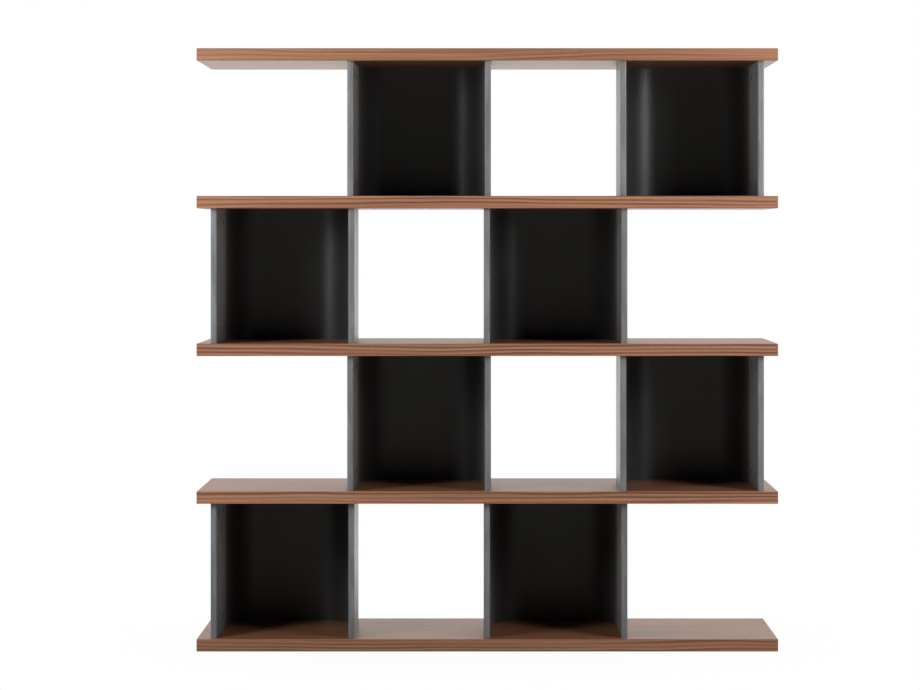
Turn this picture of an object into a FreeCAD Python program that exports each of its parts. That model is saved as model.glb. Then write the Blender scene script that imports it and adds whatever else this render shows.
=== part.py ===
"""Open cube bookcase: five lightweight walnut boards that hold eight U-shaped shells apart.

The shells stand chequerboard, two in each row, and the bays between them are open right through.
Boards and rows are counted from the floor up, columns from left to right.

Frame: millimetres, +Z up, +X to the right and -Y to the front.  The origin is on the floor, under
the middle of the bookcase.
"""
import FreeCAD, Part
import math
import os

import Sketcher

Vector = FreeCAD.Vector
Rotation = FreeCAD.Rotation

# The driving dimensions, in millimetres: alias, value, what it is.
DIMENSIONS = [
    ("board_length", 1500, "each board, end to end"),
    ("board_depth", 340, "each board, front to back"),
    ("board_thickness", 32, "each board, skins included"),
    ("skin_thickness", 3, "veneered skin above and below the frame"),
    ("strip_thickness", 2, "walnut strip round the edge of a board"),
    ("strip_rounding", 1.5, "eased outer arris of the edge strips"),
    ("rail_width", 40, "front and back rails of the inner frame"),
    ("stile_width", 60, "cross pieces of the inner frame, under the walls"),
    ("end_stile_width", 72, "cross pieces at the two ends of the frame"),
    ("comb_cell", 30, "honeycomb cell, across its flats"),
    ("comb_wall", 0.6, "honeycomb paper"),
    ("comb_gap", 1, "gap between the honeycomb and the frame"),
    ("clear_height", 349, "free height between two boards"),
    ("column_pitch", 353, "middle of one column to the middle of the next"),
    ("shell_setback", 15, "front of the board to the front of a shell"),
    ("shell_width", 372, "each shell, from one outside to the other"),
    ("shell_depth", 310, "each shell, front to back, band included"),
    ("corner_radius", 116, "outer radius of a shell's back corners"),
    ("wall_thickness", 16, "wall of a shell, both skins included"),
    ("laminate", 0.8, "lining and outer skin of a shell"),
    ("band_thickness", 5, "grey band on the front edge of a wall"),
    ("band_rounding", 4, "rounded arrises of the band"),
    ("cam_front", 50, "shell front to the first cam lock"),
    ("cam_back", 160, "shell front to the second cam lock"),
    ("cam_rise", 34, "board face to the middle of a cam lock"),
    ("cam_pocket", 15, "bored pocket of a cam lock, across"),
    ("cam_depth", 12.5, "bored pocket, from the lining's face"),
    ("cam_play", 0.2, "play between a cam lock and its pocket"),
    ("cam_slot", 1.6, "width and depth of the cam's driving cross"),
    ("cap_diameter", 17, "cover cap of a cam lock"),
    ("cap_thickness", 1, "cover cap, in front of the lining"),
    ("bolt_bore", 8, "bore for the shank of a bolt"),
    ("bolt_shank", 7, "shank of a connecting bolt"),
    ("bolt_shank_rise", 24, "board face to the end of the shank"),
    ("bolt_neck", 4, "neck of a bolt, below its head"),
    ("bolt_head", 6, "head of a bolt, that the cam grips"),
    ("bolt_head_length", 5, "head, along the bolt"),
    ("thread_diameter", 5, "threaded end of a short bolt"),
    ("thread_length", 11, "threaded end, inside the board"),
    ("dowel_bore", 8, "bore for a dowel"),
    ("dowel_diameter", 7.8, "beech dowel"),
    ("dowel_length", 30, "dowel, end to end"),
    ("dowel_chamfer", 1, "tapered ends of a dowel"),
    ("dowel_in_board", 12, "part of a dowel inside the board"),
    ("dowel_side", 105, "shell front to the dowel in a side wall"),
    ("dowel_spread", 40, "middle of the shell to a dowel in its back"),
    ("bore_play", 0.5, "free space past the end of a dowel or thread"),
    ("glide_diameter", 24, "plastic glide under the bottom board"),
    ("glide_height", 3, "glide, from the floor to the board"),
    ("glide_rounding", 1.2, "rounded foot of a glide"),
    ("glide_pin", 3, "pin that holds a glide, across"),
    ("glide_pin_length", 14, "pin, inside the board"),
    ("glide_inset", 40, "edge of the board to the middle of a glide"),
]

BOARDS = ["bottom_board", "lower_board", "middle_board", "upper_board", "top_board"]
ROW_COUNT = len(BOARDS) - 1
WALL_LINES = range(5)

doc = FreeCAD.newDocument("cube_bookcase")
sheet = doc.addObject("Spreadsheet::Sheet", "size")
for row_number, (alias, number, meaning) in enumerate(DIMENSIONS, start=1):
    sheet.set(f"A{row_number}", meaning)
    sheet.set(f"B{row_number}", str(number))
    sheet.setAlias(f"B{row_number}", alias)
doc.recompute()

sub_parts = []


def value(expression):
    """The number that an expression over the sheet's cells gives now."""
    return float(sheet.evalExpression(expression))


# --- where things are, as expressions over the sheet ---------------------------------------------

SHELL_FRONT = "-size.board_depth / 2 + size.shell_setback"
INNER_LENGTH = "size.board_length - 2 * size.strip_thickness"
INNER_DEPTH = "size.board_depth - 2 * size.strip_thickness"
FRAME_THICKNESS = "size.board_thickness - 2 * size.skin_thickness"
CAM_PLACES = [f"{SHELL_FRONT} + size.cam_front", f"{SHELL_FRONT} + size.cam_back"]
SIDE_DOWEL = f"{SHELL_FRONT} + size.dowel_side"
BACK_DOWEL = f"{SHELL_FRONT} + size.shell_depth - size.wall_thickness / 2"

# From the middle of a shell to the middle of its side wall, and to the lining's face.
WALL_MIDDLE = "(size.shell_width - size.wall_thickness) / 2"
LINING_FACE = "(size.shell_width / 2 - size.wall_thickness)"


def board_bottom(board):
    """Underside of a board, 0 being the lowest."""
    return f"size.glide_height + {board} * (size.board_thickness + size.clear_height)"


def row_bottom(row):
    """Top of the board that row 1, 2, 3 or 4 stands on."""
    return f"{board_bottom(row - 1)} + size.board_thickness"


def column_middle(column):
    """Middle of column 1, 2, 3 or 4."""
    return f"({column} - 2.5) * size.column_pitch"


def line_place(line):
    """Line 0 to 4 between the columns.

    All the fastenings of the walls along a line are centred on it.  The shells are a little wider
    than the pitch, so the walls above and below a board stand just to either side of the line.
    """
    return f"({line} - 2) * size.column_pitch"


def shell_columns(row):
    """The columns whose bay holds a shell, none for a row that doesn't exist."""
    if not 1 <= row <= ROW_COUNT:
        return []
    return [1, 3] if row % 2 else [2, 4]


def wall_lines(row):
    """The lines that have a shell wall in this row."""
    return [line for column in shell_columns(row) for line in (column - 1, column)]


def dowel_places(row):
    """Expressions for x and y of every dowel at the top or bottom edges of this row's shells."""
    places = [(line_place(line), SIDE_DOWEL) for line in wall_lines(row)]
    for column in shell_columns(row):
        for side in ("-", "+"):
            places.append((f"{column_middle(column)} {side} size.dowel_spread", BACK_DOWEL))
    return places


def bolt_places(lines):
    """Expressions for x and y of the bolts on these wall lines."""
    return [(line_place(line), y) for line in lines for y in CAM_PLACES]


def lines_through(board):
    """Lines where a wall stands both above and below a board, so that one long bolt joins them."""
    return [line for line in WALL_LINES if line in wall_lines(board) and line in wall_lines(board + 1)]


def lines_one_side(row, board):
    """Lines where only this row's wall meets the board."""
    return [line for line in wall_lines(row) if line not in lines_through(board)]


# --- sketch helpers ------------------------------------------------------------------------------

def add_body(label):
    body = doc.addObject("PartDesign::Body", label)
    body.Label = label
    return body


def add_sketch(body, name, role="XY_Plane", offset=None):
    """An empty sketch on one of the body's own origin planes, lifted by an expression if given."""
    plane = next(feature for feature in body.Origin.OriginFeatures if feature.Role == role)
    sketch = body.newObject("Sketcher::SketchObject", name)
    sketch.AttachmentSupport = [(plane, "")]
    sketch.MapMode = "FlatFace"
    if offset:
        sketch.setExpression("AttachmentOffset.Base.z", offset)
    return sketch


def dimension(sketch, kind, *places, expression):
    """A driving constraint whose value is an expression over the sheet."""
    index = sketch.addConstraint(Sketcher.Constraint(kind, *places, value(expression)))
    sketch.renameConstraint(index, f"d{index}")
    sketch.setExpression(f"Constraints.d{index}", expression)


def add_rectangle(sketch, left, front, width, depth):
    """A rectangle given by its lower left corner and its two sides, all expressions."""
    x, y = value(left), value(front)
    w, d = value(width), value(depth)
    corners = [Vector(x, y), Vector(x + w, y), Vector(x + w, y + d), Vector(x, y + d)]
    sides = [sketch.addGeometry(Part.LineSegment(corners[i], corners[(i + 1) % 4])) for i in range(4)]
    for i in range(4):
        sketch.addConstraint(Sketcher.Constraint("Coincident", sides[i], 2, sides[(i + 1) % 4], 1))
        sketch.addConstraint(Sketcher.Constraint("Vertical" if i % 2 else "Horizontal", sides[i]))
    dimension(sketch, "DistanceX", -1, 1, sides[0], 1, expression=left)
    dimension(sketch, "DistanceY", -1, 1, sides[0], 1, expression=front)
    dimension(sketch, "DistanceX", sides[0], 1, sides[0], 2, expression=width)
    dimension(sketch, "DistanceY", sides[1], 1, sides[1], 2, expression=depth)


def add_circles(sketch, places, diameter):
    """Equal circles at the given pairs of x and y expressions."""
    for x, y in places:
        circle = Part.Circle(Vector(value(x), value(y)), Vector(0, 0, 1), value(diameter) / 2)
        index = sketch.addGeometry(circle)
        dimension(sketch, "DistanceX", -1, 1, index, 3, expression=x)
        dimension(sketch, "DistanceY", -1, 1, index, 3, expression=y)
        dimension(sketch, "Diameter", index, expression=diameter)


def add_u_profile(sketch, width, depth, radius, thickness):
    """A U seen from above, open to the front, with two round back corners.

    Its outline runs up the left side, round the back and down the right side, then back along the
    inside.  Inner and outer corners share their centres.
    """
    w, d = value(width) / 2, value(depth)
    r, wall = value(radius), value(thickness)
    normal = Vector(0, 0, 1)
    right_angle = math.pi / 2
    left_centre = Vector(r - w, d - r)
    right_centre = Vector(w - r, d - r)
    left_outer = Part.Circle(left_centre, normal, r)
    right_outer = Part.Circle(right_centre, normal, r)
    right_inner = Part.Circle(right_centre, normal, r - wall)
    left_inner = Part.Circle(left_centre, normal, r - wall)
    outline = [
        Part.LineSegment(Vector(-w, 0), Vector(-w, d - r)),
        Part.ArcOfCircle(left_outer, right_angle, 2 * right_angle),
        Part.LineSegment(Vector(r - w, d), Vector(w - r, d)),
        Part.ArcOfCircle(right_outer, 0, right_angle),
        Part.LineSegment(Vector(w, d - r), Vector(w, 0)),
        Part.LineSegment(Vector(w, 0), Vector(w - wall, 0)),
        Part.LineSegment(Vector(w - wall, 0), Vector(w - wall, d - r)),
        Part.ArcOfCircle(right_inner, 0, right_angle),
        Part.LineSegment(Vector(w - r, d - wall), Vector(r - w, d - wall)),
        Part.ArcOfCircle(left_inner, right_angle, 2 * right_angle),
        Part.LineSegment(Vector(wall - w, d - r), Vector(wall - w, 0)),
        Part.LineSegment(Vector(wall - w, 0), Vector(-w, 0)),
    ]
    (left, left_arc, back, right_arc, right, right_end,
     inner_right, inner_right_arc, inner_back, inner_left_arc, inner_left, left_end) = [
        sketch.addGeometry(piece) for piece in outline]
    start, end, centre = 1, 2, 3
    rules = [
        ("Tangent", left, end, left_arc, end),
        ("Tangent", left_arc, start, back, start),
        ("Tangent", back, end, right_arc, end),
        ("Tangent", right_arc, start, right, start),
        ("Coincident", right, end, right_end, start),
        ("Coincident", right_end, end, inner_right, start),
        ("Tangent", inner_right, end, inner_right_arc, start),
        ("Tangent", inner_right_arc, end, inner_back, start),
        ("Tangent", inner_back, end, inner_left_arc, start),
        ("Tangent", inner_left_arc, end, inner_left, start),
        ("Coincident", inner_left, end, left_end, start),
        ("Coincident", left_end, end, left, start),
        ("Coincident", left_arc, centre, inner_left_arc, centre),
        ("Coincident", right_arc, centre, inner_right_arc, centre),
        ("Vertical", left),
        ("Vertical", right),
        ("Horizontal", back),
        ("Horizontal", left_end),
        ("Horizontal", right_end),
        ("Vertical", inner_left),
        ("Vertical", inner_right),
        ("Horizontal", inner_back),
        ("Symmetric", left, start, right, end, -2),
        ("PointOnObject", left, start, -1),
        ("Equal", left_arc, right_arc),
    ]
    for rule in rules:
        sketch.addConstraint(Sketcher.Constraint(*rule))
    dimension(sketch, "DistanceX", left, start, right, end, expression=width)
    dimension(sketch, "DistanceY", left, start, back, start, expression=depth)
    dimension(sketch, "Radius", left_arc, expression=radius)
    dimension(sketch, "DistanceX", left, start, left_end, start, expression=thickness)


def add_pad(body, sketch, length):
    pad = body.newObject("PartDesign::Pad", f"{body.Name}_pad")
    pad.Profile = sketch
    pad.setExpression("Length", length)
    return pad


def add_pocket(body, sketch, length, into_plus=False, both_ways=False):
    """Cut the sketch into the body: against the plane's normal, along it, or half each way."""
    pocket = body.newObject("PartDesign::Pocket", f"{sketch.Name}_cut")
    pocket.Profile = sketch
    pocket.Reversed = into_plus
    if both_ways:
        pocket.SideType = "Symmetric"
    pocket.setExpression("Length", length)
    return pocket


def place(body, x=None, y=None, z=None):
    """Bind the body's place to expressions, and count it as a sub-part of its own."""
    for axis, expression in (("x", x), ("y", y), ("z", z)):
        if expression:
            body.setExpression(f"Placement.Base.{axis}", expression)
    sub_parts.append(body)


def add_group(label, shape, places):
    """One node of equal pieces: a copy of a shape at every place, each a solid of its own."""
    copies = []
    for placement in places:
        copy = shape.copy()
        copy.Placement = placement.multiply(copy.Placement)
        copies.extend(copy.Solids)
    group = doc.addObject("Part::Feature", label)
    group.Label = label
    group.Shape = Part.makeCompound(copies)
    sub_parts.append(group)


# --- boards --------------------------------------------------------------------------------------

def face_bores(sketch, row, board):
    """Circles where the dowels and short bolts of one row enter the board."""
    add_circles(sketch, dowel_places(row), "size.dowel_bore")
    add_circles(sketch, bolt_places(lines_one_side(row, board)), "size.thread_diameter")


def add_skin(label, board, row, height):
    """A veneered skin, bored for everything that goes into its face from the row that it meets."""
    body = add_body(label)
    sketch = add_sketch(body, f"{label}_outline")
    add_rectangle(sketch, f"-({INNER_LENGTH}) / 2", f"-({INNER_DEPTH}) / 2", INNER_LENGTH, INNER_DEPTH)
    face_bores(sketch, row, board)
    add_circles(sketch, bolt_places(lines_through(board)), "size.bolt_bore")
    if row == 0:
        add_circles(sketch, glide_places(), "size.glide_pin")
    add_pad(body, sketch, "size.skin_thickness")
    place(body, z=height)


def window_edges():
    """Left end and width of the four windows of a frame, between its cross pieces."""
    edges = []
    for column in (1, 2, 3, 4):
        left = f"{line_place(column - 1)} + size.stile_width / 2"
        right = f"{line_place(column)} - size.stile_width / 2"
        if column == 1:
            left = f"-({INNER_LENGTH}) / 2 + size.end_stile_width"
        if column == 4:
            right = f"({INNER_LENGTH}) / 2 - size.end_stile_width"
        edges.append((left, f"({right}) - ({left})"))
    return edges


def add_frame(label, board):
    """The inner frame: two rails and five cross pieces, glued up as one, with the walls' bores."""
    body = add_body(label)
    sketch = add_sketch(body, f"{label}_outline")
    add_rectangle(sketch, f"-({INNER_LENGTH}) / 2", f"-({INNER_DEPTH}) / 2", INNER_LENGTH, INNER_DEPTH)
    for left, width in window_edges():
        add_rectangle(sketch, left, f"-({INNER_DEPTH}) / 2 + size.rail_width",
                      width, f"{INNER_DEPTH} - 2 * size.rail_width")
    add_circles(sketch, bolt_places(lines_through(board)), "size.bolt_bore")
    add_pad(body, sketch, FRAME_THICKNESS)
    bore_depth = "size.dowel_in_board - size.skin_thickness + size.bore_play"
    if shell_columns(board + 1):
        upper = add_sketch(body, f"{label}_upper_bores", offset=FRAME_THICKNESS)
        face_bores(upper, board + 1, board)
        add_pocket(body, upper, bore_depth)
    if shell_columns(board):
        lower = add_sketch(body, f"{label}_lower_bores")
        face_bores(lower, board, board)
        add_pocket(body, lower, bore_depth, into_plus=True)
    else:
        pins = add_sketch(body, f"{label}_glide_bores")
        add_circles(pins, glide_places(), "size.glide_pin")
        add_pocket(body, pins, "size.glide_pin_length - size.skin_thickness + size.bore_play",
                   into_plus=True)
    place(body, z=f"{board_bottom(board)} + size.skin_thickness")


def comb_sheet(width, depth):
    """Honeycomb for one window: a slab with one corner at 0, pierced by hexagons."""
    cell = value("size.comb_cell")
    paper = value("size.comb_wall")
    height = value(FRAME_THICKNESS)
    pitch_x = cell + paper
    pitch_y = pitch_x * math.sqrt(3) / 2
    corner = cell / math.sqrt(3)
    columns = int((width - 2 * paper) // pitch_x)
    rows = int((depth - 2 * paper - 2 * corner) // pitch_y) + 1
    margin_x = (width - columns * pitch_x + paper) / 2
    margin_y = (depth - (rows - 1) * pitch_y) / 2
    holes = []
    for row in range(rows):
        shift = cell / 2 + (pitch_x / 2 if row % 2 else 0)
        for column in range(columns - row % 2):
            middle = Vector(margin_x + shift + column * pitch_x, margin_y + row * pitch_y)
            turns = [math.radians(30 + 60 * i) for i in range(6)]
            points = [middle + Vector(corner * math.cos(a), corner * math.sin(a)) for a in turns]
            holes.append(Part.makePolygon(points + points[:1]))
    outline = Part.makePolygon([Vector(0, 0), Vector(width, 0), Vector(width, depth),
                                Vector(0, depth), Vector(0, 0)])
    face = Part.makeFace([outline] + holes, "Part::FaceMakerBullseye")
    return face.extrude(Vector(0, 0, height))


def honeycomb():
    """The four pieces of honeycomb that fill a frame's windows, standing on z = 0."""
    gap = value("size.comb_gap")
    depth = value(f"{INNER_DEPTH} - 2 * size.rail_width") - 2 * gap
    pieces = []
    for left, width in window_edges():
        piece = comb_sheet(value(width) - 2 * gap, depth)
        piece.translate(Vector(value(left) + gap, -depth / 2, 0))
        pieces.append(piece)
    return Part.makeCompound(pieces)


def edge_strips():
    """The four strips round a board: front and back over the full length, the ends between them."""
    length, depth = value("size.board_length"), value("size.board_depth")
    thickness = value("size.board_thickness")
    inner_length, inner_depth = value(INNER_LENGTH), value(INNER_DEPTH)
    block = Part.makeBox(length, depth, thickness, Vector(-length / 2, -depth / 2, 0))
    block = block.makeFillet(value("size.strip_rounding"), block.Edges)
    core = Part.makeBox(inner_length, inner_depth, thickness, Vector(-inner_length / 2, -inner_depth / 2, 0))
    ring = block.cut(core)
    ends = Part.makeBox(length, inner_depth, thickness, Vector(-length / 2, -inner_depth / 2, 0))
    return Part.makeCompound(ring.cut(ends).Solids + ring.common(ends).Solids)


def lifted(height):
    """The placement that only lifts a shape to the height an expression gives."""
    return FreeCAD.Placement(Vector(0, 0, value(height)), Rotation())


def add_boards():
    comb = honeycomb()
    strips = edge_strips()
    for board, name in enumerate(BOARDS):
        bottom = board_bottom(board)
        add_skin(f"{name}_underside_skin", board, board, bottom)
        add_frame(f"{name}_frame", board)
        add_group(f"{name}_honeycomb", comb, [lifted(f"{bottom} + size.skin_thickness")])
        add_skin(f"{name}_top_skin", board, board + 1,
                 f"{bottom} + size.board_thickness - size.skin_thickness")
        add_group(f"{name}_edge_strips", strips, [lifted(bottom)])


# --- shells --------------------------------------------------------------------------------------

PLY_START = "size.band_thickness"
CAM_FACE_REACH = f"2 * ({LINING_FACE} + size.cam_depth)"
BOLT_IN_CAM = f"{LINING_FACE} - size.column_pitch / 2 + size.cam_play"


def bore_cams(body):
    """Pockets of the cam locks, sunk into both walls from the inside at the top and the bottom."""
    sketch = add_sketch(body, f"{body.Name}_cams", role="YZ_Plane")
    heights = ["size.cam_rise", "size.clear_height - size.cam_rise"]
    places = [(f"size.{depth} - {PLY_START}", height)
              for depth in ("cam_front", "cam_back") for height in heights]
    add_circles(sketch, places, "size.cam_pocket")
    add_pocket(body, sketch, CAM_FACE_REACH, both_ways=True)


def bore_edges(body, end, height, into_plus):
    """Bores for bolts and dowels in the top or the bottom edge of the plywood."""
    half_width = "size.column_pitch / 2"
    bolts = add_sketch(body, f"{body.Name}_{end}_bolts", offset=height)
    add_circles(bolts, [(f"{side}{half_width}", f"size.{depth} - {PLY_START}")
                        for side in ("-", "") for depth in ("cam_front", "cam_back")],
                "size.bolt_bore")
    add_pocket(body, bolts, "size.cam_rise", into_plus=into_plus)
    dowels = add_sketch(body, f"{body.Name}_{end}_dowels", offset=height)
    sides = [(f"{side}{half_width}", f"size.dowel_side - {PLY_START}") for side in ("-", "")]
    backs = [(f"{side}size.dowel_spread", f"size.shell_depth - size.wall_thickness / 2 - {PLY_START}")
             for side in ("-", "")]
    add_circles(dowels, sides + backs, "size.dowel_bore")
    add_pocket(body, dowels, "size.dowel_length - size.dowel_in_board + size.bore_play",
               into_plus=into_plus)


def add_u_layer(label, row, column, inset, thickness):
    """One layer of a shell's wall: a U whose outside lies inset from the outside of the shell."""
    body = add_body(label)
    sketch = add_sketch(body, f"{label}_outline")
    add_u_profile(sketch,
                  width=f"size.shell_width - 2 * ({inset})",
                  depth=f"size.shell_depth - {PLY_START} - ({inset})",
                  radius=f"size.corner_radius - ({inset})",
                  thickness=thickness)
    add_pad(body, sketch, "size.clear_height")
    place(body, x=column_middle(column), y=f"{SHELL_FRONT} + {PLY_START}", z=row_bottom(row))
    return body


def add_shell(row, column):
    """A shell: plywood core with its bores, black lining inside, grey skin outside."""
    name = f"shell_row{row}_col{column}"
    core = add_u_layer(f"{name}_plywood", row, column,
                       inset="size.laminate", thickness="size.wall_thickness - 2 * size.laminate")
    bore_cams(core)
    bore_edges(core, "bottom", None, into_plus=True)
    bore_edges(core, "top", "size.clear_height", into_plus=False)
    lining = add_u_layer(f"{name}_lining", row, column,
                         inset="size.wall_thickness - size.laminate", thickness="size.laminate")
    bore_cams(lining)
    add_u_layer(f"{name}_outer_skin", row, column, inset="0", thickness="size.laminate")


def front_band():
    """The band on one front edge: front arrises rounded, back face on the plywood at y = 0."""
    width, thickness = value("size.wall_thickness"), value("size.band_thickness")
    height = value("size.clear_height")
    band = Part.makeBox(width, thickness, height, Vector(-width / 2, -thickness, 0))
    front_edges = [edge for edge in band.Edges
                   if edge.BoundBox.YMax < -thickness / 2 and edge.BoundBox.ZLength > width]
    return band.makeFillet(value("size.band_rounding"), front_edges)


def add_front_bands(row, band):
    """The front bands of all the walls in one row."""
    y = value(f"{SHELL_FRONT} + size.band_thickness")
    z = value(row_bottom(row))
    walls = [value(f"{column_middle(column)} {side} {WALL_MIDDLE}")
             for column in shell_columns(row) for side in ("-", "+")]
    places = [FreeCAD.Placement(Vector(x, y, z), Rotation()) for x in walls]
    add_group(f"front_bands_row{row}", band, places)


# --- hardware ------------------------------------------------------------------------------------

def add_cylinder(name, diameter, length, bottom):
    """A cylinder along +Z from the height that is given."""
    cylinder = doc.addObject("Part::Cylinder", name)
    cylinder.setExpression("Radius", f"({diameter}) / 2")
    cylinder.setExpression("Height", length)
    cylinder.setExpression("Placement.Base.z", bottom)
    return cylinder


def fused(name, pieces):
    fuse = doc.addObject("Part::MultiFuse", name)
    fuse.Shapes = pieces
    return fuse


def bolt_grip(name):
    """The end of a bolt that a cam grips, from the board's face at z = 0 up to its head."""
    neck_start = "size.bolt_shank_rise"
    head_start = "size.cam_rise - size.bolt_head_length / 2"
    return [
        add_cylinder(f"{name}_shank", "size.bolt_shank", neck_start, "0"),
        add_cylinder(f"{name}_neck", "size.bolt_neck", f"{head_start} - {neck_start}", neck_start),
        add_cylinder(f"{name}_head", "size.bolt_head", "size.bolt_head_length", head_start),
    ]


def short_bolt():
    """A bolt with its thread in the board, below z = 0."""
    thread = add_cylinder("short_bolt_thread", "size.thread_diameter",
                          "size.thread_length", "-size.thread_length")
    return fused("short_bolt", bolt_grip("short_bolt") + [thread])


def long_bolt_half():
    """Half of a double-ended bolt, down to the middle of the board."""
    middle = add_cylinder("long_bolt_middle", "size.bolt_shank",
                          "size.board_thickness / 2", "-size.board_thickness / 2")
    return fused("long_bolt_half", bolt_grip("long_bolt") + [middle])


def cam_lock():
    """A cam lock on the X axis: its face at x = 0 looks along +X, and the bolt enters from below."""
    body = add_body("cam_lock")
    disc = add_sketch(body, "cam_lock_disc", role="YZ_Plane")
    add_circles(disc, [("0", "0")], "size.cam_pocket - 2 * size.cam_play")
    pad = add_pad(body, disc, "size.cam_depth - 2 * size.cam_play")
    pad.Reversed = True
    grip = add_sketch(body, "cam_lock_grip")
    add_circles(grip, [(BOLT_IN_CAM, "0")], "size.bolt_shank + 2 * size.cam_play")
    add_pocket(body, grip, "size.cam_pocket")
    head_room = add_sketch(body, "cam_lock_head_room")
    add_circles(head_room, [(BOLT_IN_CAM, "0")], "size.bolt_shank + 2 * size.cam_play")
    add_pocket(body, head_room, "size.bolt_head_length / 2 + size.bore_play", into_plus=True)
    cross = add_sketch(body, "cam_lock_cross", role="YZ_Plane")
    arm = "size.cam_pocket / 3"
    add_rectangle(cross, f"-{arm}", "-size.cam_slot / 2", f"2 * {arm}", "size.cam_slot")
    add_pocket(body, cross, "size.cam_slot")
    upright = add_sketch(body, "cam_lock_upright", role="YZ_Plane")
    add_rectangle(upright, "-size.cam_slot / 2", f"-{arm}", "size.cam_slot", f"2 * {arm}")
    add_pocket(body, upright, "size.cam_slot")
    return body


def cover_cap():
    """A cover cap on the X axis: its back lies on the lining at x = 0."""
    body = add_body("cover_cap")
    disc = add_sketch(body, "cover_cap_disc", role="YZ_Plane")
    add_circles(disc, [("0", "0")], "size.cap_diameter")
    pad = add_pad(body, disc, "size.cap_thickness")
    doc.recompute()
    rim = [f"Edge{i + 1}" for i, edge in enumerate(pad.Shape.Edges)
           if edge.BoundBox.XLength < 1e-6 and edge.BoundBox.XMin > 0.5 * value("size.cap_thickness")]
    chamfer = body.newObject("PartDesign::Chamfer", "cover_cap_rim")
    chamfer.Base = (pad, rim)
    chamfer.setExpression("Size", "size.cap_thickness / 2")
    return body


def dowel():
    """A dowel along Z with tapered ends, its lower end at z = 0."""
    body = add_body("dowel")
    disc = add_sketch(body, "dowel_disc")
    add_circles(disc, [("0", "0")], "size.dowel_diameter")
    pad = add_pad(body, disc, "size.dowel_length")
    doc.recompute()
    rims = [f"Edge{i + 1}" for i, edge in enumerate(pad.Shape.Edges) if edge.BoundBox.ZLength < 1e-6]
    taper = body.newObject("PartDesign::Chamfer", "dowel_taper")
    taper.Base = (pad, rims)
    taper.setExpression("Size", "size.dowel_chamfer")
    return body


def glide():
    """A glide with its foot at z = 0 and its pin standing up."""
    body = add_body("glide")
    disc = add_sketch(body, "glide_disc")
    add_circles(disc, [("0", "0")], "size.glide_diameter")
    pad = add_pad(body, disc, "size.glide_height")
    doc.recompute()
    foot = [f"Edge{i + 1}" for i, edge in enumerate(pad.Shape.Edges)
            if edge.BoundBox.ZLength < 1e-6 and edge.BoundBox.ZMax < 0.5 * value("size.glide_height")]
    rounding = body.newObject("PartDesign::Fillet", "glide_rounding")
    rounding.Base = (pad, foot)
    rounding.setExpression("Radius", "size.glide_rounding")
    pin = add_sketch(body, "glide_pin", offset="size.glide_height")
    add_circles(pin, [("0", "0")], "size.glide_pin")
    pin_pad = body.newObject("PartDesign::Pad", "glide_pin_pad")
    pin_pad.Profile = pin
    pin_pad.setExpression("Length", "size.glide_pin_length")
    return body


def glide_places():
    """Expressions for x and y of the glides, one near each end of the five cross pieces."""
    reach = "(size.board_depth / 2 - size.glide_inset)"
    return [(line_place(line), f"{side}{reach}") for line in WALL_LINES for side in ("-", "")]


def upright_at(x, y, z):
    return FreeCAD.Placement(Vector(value(x), value(y), z), Rotation())


def upside_down_at(x, y, z):
    return FreeCAD.Placement(Vector(value(x), value(y), z), Rotation(Vector(1, 0, 0), 180))


def board_faces(board):
    """Height of a board's underside and of its top."""
    bottom = value(board_bottom(board))
    return bottom, bottom + value("size.board_thickness")


def add_bolts(short, half):
    """Long bolts where a wall stands on both sides of a board, and short ones where only one does."""
    short_places, long_places = [], []
    for board in range(len(BOARDS)):
        underside, top = board_faces(board)
        for x, y in bolt_places(lines_one_side(board + 1, board)):
            short_places.append(upright_at(x, y, top))
        for x, y in bolt_places(lines_one_side(board, board)):
            short_places.append(upside_down_at(x, y, underside))
        for x, y in bolt_places(lines_through(board)):
            long_places.append(upright_at(x, y, (underside + top) / 2))
    rise = Vector(0, 0, value("size.board_thickness") / 2)
    upper = half.copy()
    upper.translate(rise)
    lower = upper.copy()
    lower.rotate(Vector(0, 0, 0), Vector(1, 0, 0), 180)
    add_group("short_bolts", short, short_places)
    add_group("long_bolts", upper.fuse(lower).removeSplitter(), long_places)


def add_dowels(shape):
    """Dowels between every shell and the boards above and below it."""
    depth = value("size.dowel_in_board")
    places = []
    for row in range(1, ROW_COUNT + 1):
        floor = board_faces(row - 1)[1]
        ceiling = board_faces(row)[0]
        for x, y in dowel_places(row):
            places.append(upright_at(x, y, floor - depth))
            places.append(upside_down_at(x, y, ceiling + depth))
    add_group("dowels", shape, places)


def lock_places(sink):
    """Placements of everything that sits in or on a cam's pocket, sunk below the lining's face."""
    reach = value(LINING_FACE) + sink
    rise = value("size.cam_rise")
    places = []
    for row in range(1, ROW_COUNT + 1):
        floor = board_faces(row - 1)[1]
        ceiling = board_faces(row)[0]
        walls = [(value(column_middle(column)) + side * reach, Rotation(Vector(0, 0, 1), angle))
                 for column in shell_columns(row) for side, angle in ((-1, 0), (1, 180))]
        for x, turn in walls:
            for y in CAM_PLACES:
                places.append(FreeCAD.Placement(Vector(x, value(y), floor + rise), turn))
                flip = turn.multiply(Rotation(Vector(1, 0, 0), 180))
                places.append(FreeCAD.Placement(Vector(x, value(y), ceiling - rise), flip))
    return places


def add_glides(shape):
    add_group("floor_glides", shape, [upright_at(x, y, 0) for x, y in glide_places()])


# --- the bookcase --------------------------------------------------------------------------------

add_boards()
for row in range(1, ROW_COUNT + 1):
    for column in shell_columns(row):
        add_shell(row, column)
short_bolt_master = short_bolt()
long_bolt_master = long_bolt_half()
cam_master = cam_lock()
cap_master = cover_cap()
dowel_master = dowel()
glide_master = glide()
doc.recompute()

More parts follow.
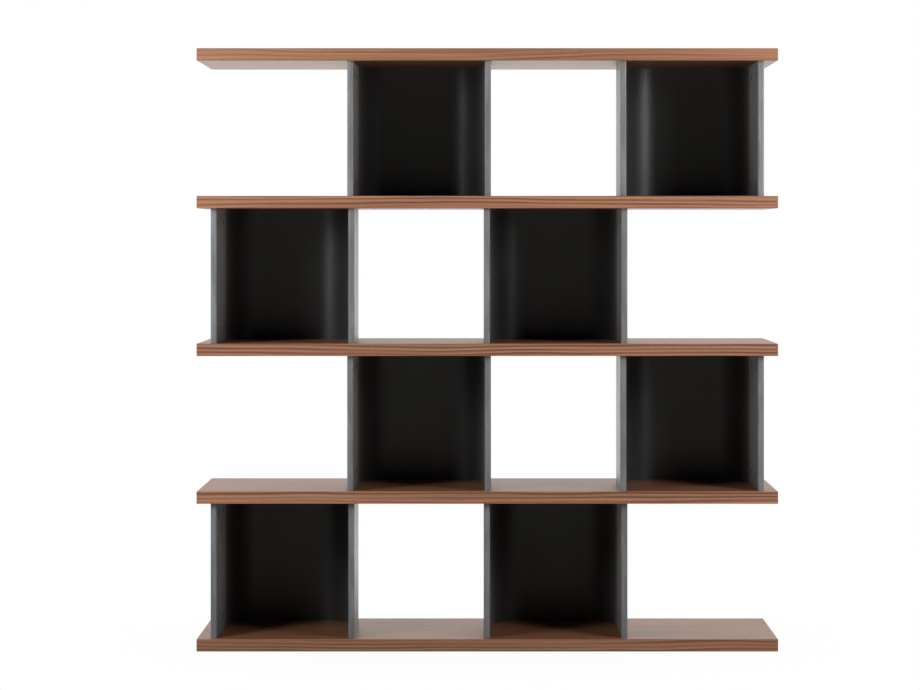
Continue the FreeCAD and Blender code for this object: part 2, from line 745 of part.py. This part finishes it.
band_shape = front_band()
for row in range(1, ROW_COUNT + 1):
    add_front_bands(row, band_shape)
add_bolts(short_bolt_master.Shape, long_bolt_master.Shape)
add_group("cam_locks", cam_master.Shape, lock_places(value("size.cam_play")))
add_group("cover_caps", cap_master.Shape, lock_places(0))
add_dowels(dowel_master.Shape)
add_glides(glide_master.Shape)
doc.recompute()

for item in doc.Objects:
    if "Invalid" in item.State or "Error" in item.State:
        raise RuntimeError(f"{item.Label} did not recompute: {item.State}")
os.makedirs("parts", exist_ok=True)
for sub_part in sub_parts:
    if sub_part.Shape.isNull() or not sub_part.Shape.isValid():
        raise RuntimeError(f"{sub_part.Label} has no valid shape")
    sub_part.Shape.exportStep(f"parts/{sub_part.Label}.step")
    print(sub_part.Label, len(sub_part.Shape.Solids), round(sub_part.Shape.Volume))
print(len(sub_parts), "sub-parts")
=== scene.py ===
import math

import bpy
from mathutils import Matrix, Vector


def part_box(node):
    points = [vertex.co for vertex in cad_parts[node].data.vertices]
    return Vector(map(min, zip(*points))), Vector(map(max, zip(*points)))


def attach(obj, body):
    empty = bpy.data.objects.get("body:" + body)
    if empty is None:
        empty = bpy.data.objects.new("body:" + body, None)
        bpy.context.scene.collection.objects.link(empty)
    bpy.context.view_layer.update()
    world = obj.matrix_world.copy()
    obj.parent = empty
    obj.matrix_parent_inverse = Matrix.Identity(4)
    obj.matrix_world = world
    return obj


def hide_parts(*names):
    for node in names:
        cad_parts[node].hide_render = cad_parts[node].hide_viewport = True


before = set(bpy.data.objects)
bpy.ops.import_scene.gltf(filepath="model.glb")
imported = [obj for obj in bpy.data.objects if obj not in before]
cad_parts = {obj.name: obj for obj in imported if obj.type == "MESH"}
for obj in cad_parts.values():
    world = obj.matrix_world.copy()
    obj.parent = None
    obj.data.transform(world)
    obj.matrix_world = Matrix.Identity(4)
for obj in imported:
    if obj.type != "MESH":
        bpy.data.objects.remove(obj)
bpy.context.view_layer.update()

# Cube storage unit: five long walnut boards held apart by U-shaped shells set chequerboard.
# The boards, their cores and the hardware are the CAD nodes with procedural finishes. The black
# lining, the grey outer skin and the grey front bands of every shell are meshed here, with finely
# divided corners. Metres; +Z up, -Y towards the open front of the shells.

MM = 0.001
BOARDS = ("bottom_board", "lower_board", "middle_board", "upper_board", "top_board")
SHELLS = ((1, 1), (1, 3), (2, 2), (2, 4), (3, 1), (3, 3), (4, 2), (4, 4))  # row from the floor, column
CORNER_RADIUS = 116 * MM      # outside of a shell's curved back corner
ARRIS_RADIUS = 4 * MM         # rounding of a front band
ARC_STEPS = 48
WALL_STEPS = 14
BACK_STEPS = 12


# ---------------------------------------------------------------- node helpers

class Nodes:
    """A short way to write a node tree."""

    def __init__(self, tree):
        self.tree = tree
        tree.nodes.clear()

    def add(self, kind, values=None, **settings):
        node = self.tree.nodes.new(kind)
        for name, value in settings.items():
            setattr(node, name, value)
        for name, value in (values or {}).items():
            self.put(node.inputs[name], value)
        return node

    def put(self, socket, value):
        if isinstance(value, bpy.types.NodeSocket):
            self.tree.links.new(value, socket)
        else:
            socket.default_value = value

    def math(self, operation, a, b=0.0, c=0.0):
        node = self.add("ShaderNodeMath", operation=operation)
        for socket, value in zip(node.inputs, (a, b, c)):
            self.put(socket, value)
        return node.outputs[0]

    def ramp(self, value, low, high, out_low=0.0, out_high=1.0):
        """Smooth step from out_low at low to out_high at high."""
        node = self.add("ShaderNodeMapRange", {0: value, 1: low, 2: high, 3: out_low, 4: out_high},
                        interpolation_type="SMOOTHSTEP")
        return node.outputs[0]

    def noise(self, vector, scale=1.0, detail=2.0, roughness=0.5):
        node = self.add("ShaderNodeTexNoise", {"Vector": vector, "Scale": scale, "Detail": detail,
                                               "Roughness": roughness})
        return node.outputs["Fac"]

    def mix(self, factor, a, b, blend="MIX"):
        node = self.add("ShaderNodeMix", data_type="RGBA", blend_type=blend)
        for index, value in ((0, factor), (6, a), (7, b)):
            self.put(node.inputs[index], value)
        return node.outputs[2]

    def mix_value(self, factor, a, b):
        node = self.add("ShaderNodeMix", {0: factor, 2: a, 3: b}, data_type="FLOAT")
        return node.outputs[0]

    def vector(self, x, y, z):
        node = self.add("ShaderNodeCombineXYZ", {0: x, 1: y, 2: z})
        return node.outputs[0]

    def place(self):
        """x, y and z of the point, in the row frame."""
        coordinates = self.add("ShaderNodeTexCoord")
        return self.add("ShaderNodeSeparateXYZ", {0: coordinates.outputs["Object"]}).outputs

    def surface(self, colour, roughness, height=None, bump_distance=0.0, bump_strength=1.0, **fixed):
        shader = self.add("ShaderNodeBsdfPrincipled", {"Base Color": colour, "Roughness": roughness})
        for name, value in fixed.items():
            shader.inputs[name.replace("_", " ")].default_value = value
        if height is not None:
            bump = self.add("ShaderNodeBump", {"Height": height, "Distance": bump_distance,
                                               "Strength": bump_strength})
            self.put(shader.inputs["Normal"], bump.outputs[0])
        self.add("ShaderNodeOutputMaterial", {"Surface": shader.outputs[0]})


def colour(red, green, blue):
    return (red, green, blue, 1.0)


def new_material(name):
    material = bpy.data.materials.new(name)
    material.use_nodes = True
    return material, Nodes(material.node_tree)


def dress(node_name, material):
    """Give a CAD node this material."""
    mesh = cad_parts[node_name].data
    mesh.materials.clear()
    mesh.materials.append(material)


# ------------------------------------------------------------------- materials

WALNUT_DARK = colour(0.165, 0.062, 0.040)
WALNUT_MID = colour(0.385, 0.167, 0.094)
WALNUT_LIGHT = colour(0.550, 0.272, 0.164)
WALNUT_PORE = colour(0.085, 0.035, 0.023)
WALNUT_GLUE_LINE_AND_ARRIS_SHADE = colour(0.215, 0.100, 0.068)
FACE_RING = 17 * MM           # distance between growth lines on a board's faces
EDGE_RING = 10 * MM           # and on its edge strips
FACE_TINT = colour(0.66, 0.60, 0.52)
FACE_ROUGHNESS = 0.42
FACE_SPECULAR = 0.72
EDGE_ROUGHNESS = 0.37
EDGE_BLUE = 0.94              # the edge strips are a little warmer than the common colours
EDGE_VENEER = {               # strength of the growth lines and lightness, board by board
    "bottom_board": (1.40, 1.07), "lower_board": (2.30, 1.20), "middle_board": (2.05, 1.05),
    "upper_board": (2.00, 1.10), "top_board": (0.75, 0.97)}


def walnut(n, along, across, third, seed, ring, figure, tint, roughness, arris, **fixed):
    """Walnut veneer: growth lines that wander with a stretched noise field, streaks, fibres and pores.

    ring is the distance between growth lines, figure their strength; arris is 1 on a glued edge, a real
    dark glue line, and on an edge strip's arrises, where the darker tone is painted shade.
    """
    wander = n.noise(n.vector(n.math("MULTIPLY_ADD", along, 0.75, seed), n.math("MULTIPLY", across, 4.0),
                              n.math("MULTIPLY", third, 2.0)), detail=2.0, roughness=0.45)
    ripple = n.noise(n.vector(n.math("MULTIPLY_ADD", along, 3.2, seed),
                              n.math("MULTIPLY", across, 22.0), seed), detail=1.0)
    turns = n.math("ADD", n.math("MULTIPLY_ADD", across, 1.0 / ring, seed),
                   n.math("ADD", n.math("MULTIPLY", wander, 5.0), n.math("MULTIPLY", ripple, 1.1)))
    rings = n.math("FRACT", turns)
    latewood = n.math("MULTIPLY", n.ramp(rings, 0.20, 0.92), n.ramp(rings, 1.0, 0.94))
    patch = n.noise(n.vector(n.math("MULTIPLY_ADD", along, 1.6, seed),
                             n.math("MULTIPLY", turns, 0.55), seed), detail=2.0)
    streak = n.noise(n.vector(n.math("MULTIPLY_ADD", along, 1.3, seed),
                              n.math("MULTIPLY", turns, 2.3), seed), detail=3.0, roughness=0.6)
    fibre = n.noise(n.vector(n.math("MULTIPLY", along, 12.0), n.math("MULTIPLY", across, 560.0),
                             n.math("MULTIPLY", third, 300.0)), detail=3.0, roughness=0.6)
    pores = n.ramp(n.noise(n.vector(n.math("MULTIPLY", along, 110.0), n.math("MULTIPLY", across, 2300.0),
                                    n.math("MULTIPLY", third, 1100.0)), detail=1.0), 0.60, 0.70)
    tone = n.mix(n.ramp(streak, 0.34, 0.66), WALNUT_MID, WALNUT_LIGHT)
    latewood = n.math("MULTIPLY", latewood, n.ramp(patch, 0.72, 0.30, 0.14 * figure, 0.60 * figure))
    tone = n.mix(latewood, tone, WALNUT_DARK)
    tone = n.mix(n.ramp(fibre, 0.25, 0.75, 0.26, 0.0), tone, WALNUT_DARK)
    tone = n.mix(n.math("MULTIPLY", pores, 0.50), tone, WALNUT_PORE)
    # darker tone on the glue lines of the faces (real joints) and on both arrises of the edge strips
    # (painted shade)
    tone = n.mix(n.math("MULTIPLY", arris, 0.22), tone, WALNUT_GLUE_LINE_AND_ARRIS_SHADE)
    tone = n.mix(1.0, tone, tint, "MULTIPLY")
    rough = n.math("ADD", n.ramp(fibre, 0.2, 0.8, roughness + 0.05, roughness - 0.05),
                   n.math("MULTIPLY", pores, 0.14))
    height = n.math("SUBTRACT", n.math("MULTIPLY", fibre, 0.35), pores)
    n.surface(tone, rough, height, bump_distance=0.12 * MM, bump_strength=0.55, **fixed)


def walnut_face(board, seed):
    """Top or underside veneer: grain along the board, glue line where the edge strip starts."""
    material, n = new_material(f"walnut_face_{board}_{seed}")
    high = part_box(f"{board}_top_skin")[1]
    x, y, z = n.place()
    from_ends = n.math("SUBTRACT", high.x, n.math("ABSOLUTE", x))
    from_sides = n.math("SUBTRACT", high.y, n.math("ABSOLUTE", y))
    rim = n.ramp(n.math("MINIMUM", from_ends, from_sides), 0.0, 0.5 * MM, 1.0, 0.0)
    walnut(n, x, y, z, seed, FACE_RING, 1.0, FACE_TINT, FACE_ROUGHNESS, rim,
           Specular_IOR_Level=FACE_SPECULAR)
    return material


def walnut_strip(board, seed):
    """Edge strips: grain along each strip, the two arrises a little darker as painted shade."""
    material, n = new_material(f"walnut_edge_{board}")
    low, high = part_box(f"{board}_edge_strips")
    x, y, z = n.place()
    at_end = n.math("GREATER_THAN", n.math("ABSOLUTE", x), high.x - 2 * MM)
    along = n.mix_value(at_end, x, n.math("ADD", y, 7.0))
    third = n.mix_value(at_end, y, x)
    middle, half = (low.z + high.z) / 2, (high.z - low.z) / 2
    from_middle = n.math("ABSOLUTE", n.math("SUBTRACT", z, middle))
    # mask of both arrises of a strip, where the darker tone is painted shade
    arris = n.ramp(from_middle, half - 1.6 * MM, half - 0.2 * MM)
    figure, light = EDGE_VENEER[board]
    tint = colour(light, light, EDGE_BLUE * light)
    walnut(n, along, z, third, seed, EDGE_RING, figure, tint, EDGE_ROUGHNESS, arris)
    return material


def painted(name, base, scuff_and_highlight_tone, roughness, grain=900.0, scuff_and_highlight_level=0.5, **fixed):
    """Smooth coated surface: fine pearl grain, faint clouds in tone and gloss, paler scuffed edges; on
    rounded arrises, as on the front bands, the paler tone is a painted highlight.
    """
    material, n = new_material(name)
    x, y, z = n.place()
    point = n.vector(x, y, z)
    pearl = n.noise(point, scale=grain, detail=2.0)
    cloud = n.noise(point, scale=7.0, detail=3.0, roughness=0.55)
    scuff = n.noise(n.vector(n.math("MULTIPLY", x, 60.0), n.math("MULTIPLY", y, 60.0),
                             n.math("MULTIPLY", z, 9.0)), detail=3.0)
    edge = n.add("ShaderNodeAttribute", attribute_name="edge").outputs["Fac"]
    # pale scuffing at the ends of a piece, and on the rounded band arrises a painted highlight
    scuff_and_highlight_mask = n.math("MULTIPLY", n.math("MULTIPLY", edge, n.ramp(scuff, 0.35, 0.7)), scuff_and_highlight_level)
    tone = n.mix(n.ramp(cloud, 0.3, 0.7, 0.0, 0.10), base, scuff_and_highlight_tone)
    tone = n.mix(scuff_and_highlight_mask, tone, scuff_and_highlight_tone)
    rough = n.math("ADD", n.ramp(cloud, 0.25, 0.75, roughness - 0.03, roughness + 0.04),
                   n.math("MULTIPLY", scuff_and_highlight_mask, 0.10))
    n.surface(tone, rough, pearl, bump_distance=0.03 * MM, bump_strength=0.35, **fixed)
    return material


def timber(name, dark, light, fine, chips=False):
    """Plain timber, ply or chipboard for the parts inside."""
    material, n = new_material(name)
    x, y, z = n.place()
    if chips:
        point = n.vector(x, n.math("MULTIPLY", y, 1.6), z)
        cell = n.add("ShaderNodeTexVoronoi", {"Vector": point, "Scale": fine})
        grain = n.add("ShaderNodeSeparateXYZ", {0: cell.outputs["Color"]}).outputs[0]
    else:
        grain = n.noise(n.vector(n.math("MULTIPLY", x, fine), n.math("MULTIPLY", y, fine),
                                 n.math("MULTIPLY", z, fine * 0.06)), detail=4.0, roughness=0.6)
    cloud = n.noise(n.vector(x, y, z), scale=11.0)
    tone = n.mix(grain, dark, light)
    tone = n.mix(n.ramp(cloud, 0.3, 0.7, 0.0, 0.25), tone, dark)
    n.surface(tone, n.ramp(grain, 0.0, 1.0, 0.78, 0.60), grain, bump_distance=0.15 * MM, bump_strength=0.5)
    return material


def metal(name, tone, roughness):
    """Zinc: spangled plating or the skin of a casting."""
    material, n = new_material(name)
    x, y, z = n.place()
    point = n.vector(x, y, z)
    spangle = n.add("ShaderNodeTexVoronoi", {"Vector": point, "Scale": 420.0}).outputs["Distance"]
    cloud = n.noise(point, scale=90.0, detail=3.0)
    dull = colour(*(0.6 * channel for channel in tone[:3]))
    finish = n.mix(n.ramp(cloud, 0.3, 0.75, 0.0, 0.5), tone, dull)
    rough = n.math("MULTIPLY_ADD", spangle, 0.15, roughness)
    n.surface(finish, rough, cloud, bump_distance=0.05 * MM, bump_strength=0.4, Metallic=1.0)
    return material


lining_black = painted("lining_black", colour(0.0215, 0.0210, 0.0203), colour(0.070, 0.070, 0.070),
                       roughness=0.40, grain=1300.0, Sheen_Weight=0.80, Sheen_Roughness=0.43,
                       Specular_IOR_Level=0.50)
skin_grey = painted("outer_skin_grey", colour(0.175, 0.177, 0.178), colour(0.300, 0.302, 0.300),
                    roughness=0.42)
# front bands: their rounded arrises take the pale tone as a painted highlight
band_grey = painted("front_band_grey", colour(0.181, 0.187, 0.199), colour(0.330, 0.340, 0.355),
                    roughness=0.44, grain=1100.0, scuff_and_highlight_level=0.8)
cap_black = painted("cover_cap_black", colour(0.0240, 0.0235, 0.0228), colour(0.070, 0.070, 0.070),
                    roughness=0.40, Sheen_Weight=0.80, Sheen_Roughness=0.43, Specular_IOR_Level=0.50)
glide_nylon = painted("glide_nylon", colour(0.060, 0.060, 0.062), colour(0.16, 0.16, 0.16), roughness=0.55)
chipboard = timber("chipboard", colour(0.330, 0.225, 0.130), colour(0.640, 0.490, 0.330), 450.0, chips=True)
kraft_paper = timber("kraft_paper", colour(0.330, 0.225, 0.135), colour(0.500, 0.370, 0.240), 700.0)
ply_core = timber("ply_core", colour(0.450, 0.320, 0.190), colour(0.640, 0.490, 0.320), 260.0)
beech_dowel = timber("beech_dowel", colour(0.520, 0.350, 0.210), colour(0.700, 0.520, 0.340), 900.0)
bolt_zinc = metal("bolt_zinc", colour(0.62, 0.61, 0.58), 0.30)
cam_zinc = metal("cam_zinc", colour(0.50, 0.50, 0.49), 0.42)

for index, board in enumerate(BOARDS):
    dress(f"{board}_top_skin", walnut_face(board, 2.0 + 3.7 * index))
    dress(f"{board}_underside_skin", walnut_face(board, 21.0 + 2.9 * index))
    dress(f"{board}_edge_strips", walnut_strip(board, 40.0 + 5.3 * index))
    dress(f"{board}_frame", chipboard)
    dress(f"{board}_honeycomb", kraft_paper)
for row, column in SHELLS:
    dress(f"shell_row{row}_col{column}_plywood", ply_core)
for node_name, material in (("short_bolts", bolt_zinc), ("long_bolts", bolt_zinc),
                            ("cam_locks", cam_zinc), ("cover_caps", cap_black),
                            ("dowels", beech_dowel), ("floor_glides", glide_nylon)):
    dress(node_name, material)


# ---------------------------------------------------------------- shell pieces

def u_path(half_width, front, back, radius):
    """Points of one face of a shell, seen from above: left wall, corner, back, corner, right wall."""
    points = [(-half_width, front + (back - radius - front) * i / WALL_STEPS) for i in range(WALL_STEPS)]
    for i in range(ARC_STEPS + 1):
        turn = math.pi / 2 * i / ARC_STEPS
        points.append((-half_width + radius * (1 - math.cos(turn)), back - radius * (1 - math.sin(turn))))
    flat = half_width - radius
    points += [(-flat + 2 * flat * i / BACK_STEPS, back) for i in range(1, BACK_STEPS)]
    return points + [(-x, y) for x, y in reversed(points[:WALL_STEPS + ARC_STEPS + 1])]


def levels(low, high):
    """Heights of the mesh rows, closer together next to the boards."""
    inset = (0.0, 1.0 * MM, 3.0 * MM, 8.0 * MM, 20.0 * MM)
    middle = [low + (high - low) * i / 8 for i in range(1, 8)]
    return [low + step for step in inset] + middle + [high - step for step in reversed(inset)]


def finish_mesh(name, points, faces, scuff_and_highlight_share, material, slot, *replaced):
    """Mesh object from points and faces, with a per-point attribute for scuffing and the painted arris
    highlight, that rides on the bookcase.
    """
    mesh = bpy.data.meshes.new(name)
    mesh.from_pydata(points, [], faces)
    mesh.validate()
    mesh.polygons.foreach_set("use_smooth", [True] * len(mesh.polygons))
    mesh.set_sharp_from_angle(angle=math.radians(35))
    scuff_and_highlight_level = mesh.attributes.new("edge", "FLOAT", "POINT")
    scuff_and_highlight_level.data.foreach_set("value", scuff_and_highlight_share)
    mesh.materials.append(material)
    piece = bpy.data.objects.new(name, mesh)
    bpy.context.scene.collection.objects.link(piece)
    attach(piece, "root")
    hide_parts(*replaced)
    return piece


def near_ends(z, low, high, reach=4 * MM):
    """1 at the two ends of a shell, fading to 0 over reach."""
    return max(0.0, 1.0 - min(z - low, high - z) / reach)


def u_sheet(name, node_name, outer_radius, thickness, material, slot):
    """A closed U-shaped sheet, as large as the CAD node it stands for."""
    low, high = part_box(node_name)
    centre, half = (low.x + high.x) / 2, (high.x - low.x) / 2
    outside = u_path(half, low.y, high.y, outer_radius)
    inside = u_path(half - thickness, low.y, high.y - thickness, outer_radius - thickness)
    heights = levels(low.z, high.z)
    points, share, faces = [], [], []
    for face_path in (outside, inside):
        for z in heights:
            points += [(centre + x, y, z) for x, y in face_path]
            share += [near_ends(z, low.z, high.z)] * len(face_path)
    across, rows = len(outside), len(heights)

    def at(side, level, step):
        return (side * rows + level) * across + step

    for level in range(rows - 1):
        for step in range(across - 1):
            faces.append((at(0, level, step), at(0, level + 1, step),
                          at(0, level + 1, step + 1), at(0, level, step + 1)))
            faces.append((at(1, level, step), at(1, level, step + 1),
                          at(1, level + 1, step + 1), at(1, level + 1, step)))
        last = across - 1
        faces.append((at(0, level, 0), at(1, level, 0), at(1, level + 1, 0), at(0, level + 1, 0)))
        faces.append((at(0, level, last), at(0, level + 1, last),
                      at(1, level + 1, last), at(1, level, last)))
    top = rows - 1
    for step in range(across - 1):
        faces.append((at(0, 0, step), at(0, 0, step + 1), at(1, 0, step + 1), at(1, 0, step)))
        faces.append((at(0, top, step), at(1, top, step), at(1, top, step + 1), at(0, top, step + 1)))
    return finish_mesh(name, points, faces, share, material, slot, node_name)


def band_outline(half_width, front, back):
    """Section of a front band: flat back, both front arrises rounded."""
    outline, steps = [(-half_width, back)], 10
    for i in range(steps + 1):
        turn = math.pi / 2 * i / steps
        outline.append((-half_width + ARRIS_RADIUS * (1 - math.cos(turn)),
                        front + ARRIS_RADIUS * (1 - math.sin(turn))))
    return outline + [(-x, y) for x, y in reversed(outline)]


def front_bands(name, node_name, walls, thickness):
    """The bands on the front edges of one row's walls, one closed solid each."""
    low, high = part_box(node_name)
    outline = band_outline(thickness / 2, low.y, high.y)
    heights = levels(low.z, high.z)
    points, share, faces = [], [], []
    around, top = len(outline), len(heights) - 1
    for wall in walls:
        start = len(points)
        for z in heights:
            for x, y in outline:
                points.append((wall + x, y, z))
                # the rounded front arrises get 0.6 of the pale tone as a painted highlight
                in_corner = abs(x) > thickness / 2 - ARRIS_RADIUS and y < low.y + ARRIS_RADIUS
                on_arris = 1.0 if in_corner else 0.0
                share.append(max(on_arris * 0.6, near_ends(z, low.z, high.z)))
        for level in range(top):
            for step in range(around):
                following = (step + 1) % around
                a, b = start + level * around, start + (level + 1) * around
                faces.append((a + step, a + following, b + following, b + step))
        faces.append(tuple(start + step for step in reversed(range(around))))
        faces.append(tuple(start + top * around + step for step in range(around)))
    return finish_mesh(name, points, faces, share, band_grey, "grey_front_band", node_name)


SHEET = 0.8 * MM              # thickness of the lining and of the outer skin
WALL = 16 * MM
for row, column in SHELLS:
    shell = f"shell_row{row}_col{column}"
    u_sheet(f"{shell}_outer_skin_finish", f"{shell}_outer_skin", CORNER_RADIUS, SHEET,
            skin_grey, "grey_outer_skin")
    u_sheet(f"{shell}_lining_finish", f"{shell}_lining", CORNER_RADIUS - WALL + SHEET, SHEET,
            lining_black, "black_lining")
for row in range(1, 5):
    walls = []
    for shell_row, column in SHELLS:
        if shell_row == row:
            low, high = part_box(f"shell_row{row}_col{column}_outer_skin")
            walls += [low.x + WALL / 2, high.x - WALL / 2]
    front_bands(f"front_bands_row{row}_finish", f"front_bands_row{row}", walls, WALL)


# ------------------------------------------------------- floor, light and camera

LAMP_AIM = (0.0, 0.0, 1.0)
LAMP_WIDTH = 0.60
LAMP_HEIGHT = 0.80


def lamp(name, location, watts):
    """A softbox that faces the middle of the bookcase."""
    data = bpy.data.lights.new(name, "AREA")
    data.shape, data.size, data.size_y = "RECTANGLE", LAMP_WIDTH, LAMP_HEIGHT
    data.energy = watts
    holder = bpy.data.objects.new(name, data)
    holder.location = location
    aim = Vector(LAMP_AIM) - Vector(location)
    holder.rotation_euler = aim.to_track_quat("-Z", "Y").to_euler()
    holder.visible_camera = False
    bpy.context.scene.collection.objects.link(holder)


for side, x_sign in (("left", -1.0), ("right", 1.0)):
    lamp(f"near_softbox_{side}", (1.85 * x_sign, -1.10, 1.70), 12.5)
    lamp(f"main_softbox_{side}", (2.08 * x_sign, -1.80, 1.72), 12.5)
    lamp(f"far_softbox_{side}", (2.50 * x_sign, -2.00, 1.70), 10.5)
    lamp(f"low_softbox_{side}", (2.00 * x_sign, -1.60, 1.00), 4.0)

WHITE = colour(1.0, 1.0, 1.0)
WARM_WHITE = colour(1.0, 0.975, 0.93)
WALL_GLOW = 1.18
FLOOR_GLOW_BEHIND = 1.60
FLOOR_GLOW_NEAR = 0.24
FLOOR_GLOW_FRONT = 0.50
CONTACT_SHADE = 0.05          # how much of the real shadow shows on the floor under the bookcase
world = bpy.data.worlds.new("studio")
bpy.context.scene.world = world
world.use_nodes = True
n = Nodes(world.node_tree)
toward = n.add("ShaderNodeSeparateXYZ", {0: n.add("ShaderNodeTexCoord").outputs["Generated"]}).outputs
studio = n.ramp(toward[1], -0.20, 0.35, 0.0, WALL_GLOW)      # bright behind the bookcase, dark in front
seen = n.add("ShaderNodeLightPath").outputs["Is Camera Ray"]
strength = n.mix_value(seen, studio, 1.0)
tint = n.mix(seen, WARM_WHITE, WHITE)
backdrop = n.add("ShaderNodeBackground", {"Color": tint, "Strength": strength})
n.add("ShaderNodeOutputWorld", {"Surface": backdrop.outputs[0]})

FLOOR_HALF = 60.0
floor_mesh = bpy.data.meshes.new("studio_floor")
floor_mesh.from_pydata([(-FLOOR_HALF, -FLOOR_HALF, 0.0), (FLOOR_HALF, -FLOOR_HALF, 0.0),
                        (FLOOR_HALF, FLOOR_HALF, 0.0), (-FLOOR_HALF, FLOOR_HALF, 0.0)], [], [(0, 1, 2, 3)])
floor_material, n = new_material("studio_floor_white")
x, y, z = n.place()
away = n.add("ShaderNodeVectorMath", {0: n.vector(n.math("MULTIPLY", x, 0.55), y, 0.0)}, operation="LENGTH")
shade = n.ramp(away.outputs["Value"], 0.20, 0.75, CONTACT_SHADE, 0.0)
front_glow = n.ramp(y, -1.6, -1.3, FLOOR_GLOW_FRONT, FLOOR_GLOW_NEAR)
glow = n.ramp(y, 0.0, 1.5, front_glow, FLOOR_GLOW_BEHIND)
seen = n.add("ShaderNodeLightPath").outputs["Is Camera Ray"]
paper = n.add("ShaderNodeBsdfDiffuse", {"Color": colour(0.90, 0.90, 0.90)})
lit = n.add("ShaderNodeEmission", {"Color": n.mix(seen, WARM_WHITE, WHITE),
                                   "Strength": n.mix_value(seen, glow, 1.0)})
sweep = n.add("ShaderNodeMixShader", {0: shade, 1: lit.outputs[0], 2: paper.outputs[0]})
n.add("ShaderNodeOutputMaterial", {"Surface": sweep.outputs[0]})
floor_mesh.materials.append(floor_material)
floor = bpy.data.objects.new("studio_floor", floor_mesh)
bpy.context.scene.collection.objects.link(floor)

camera_data = bpy.data.cameras.new("camera")
camera_data.sensor_width = 36.0
camera_data.lens = 94.07
camera_data.shift_x = -0.0297
camera_data.shift_y = -0.1174
camera_data.clip_end = 200.0
camera = bpy.data.objects.new("camera", camera_data)
camera.location = (0.0, -6.368, 1.072)
camera.rotation_euler = (math.radians(90.0), 0.0, 0.0)
bpy.context.scene.collection.objects.link(camera)
bpy.context.scene.camera = camera
bpy.context.scene.view_settings.view_transform = "Standard"
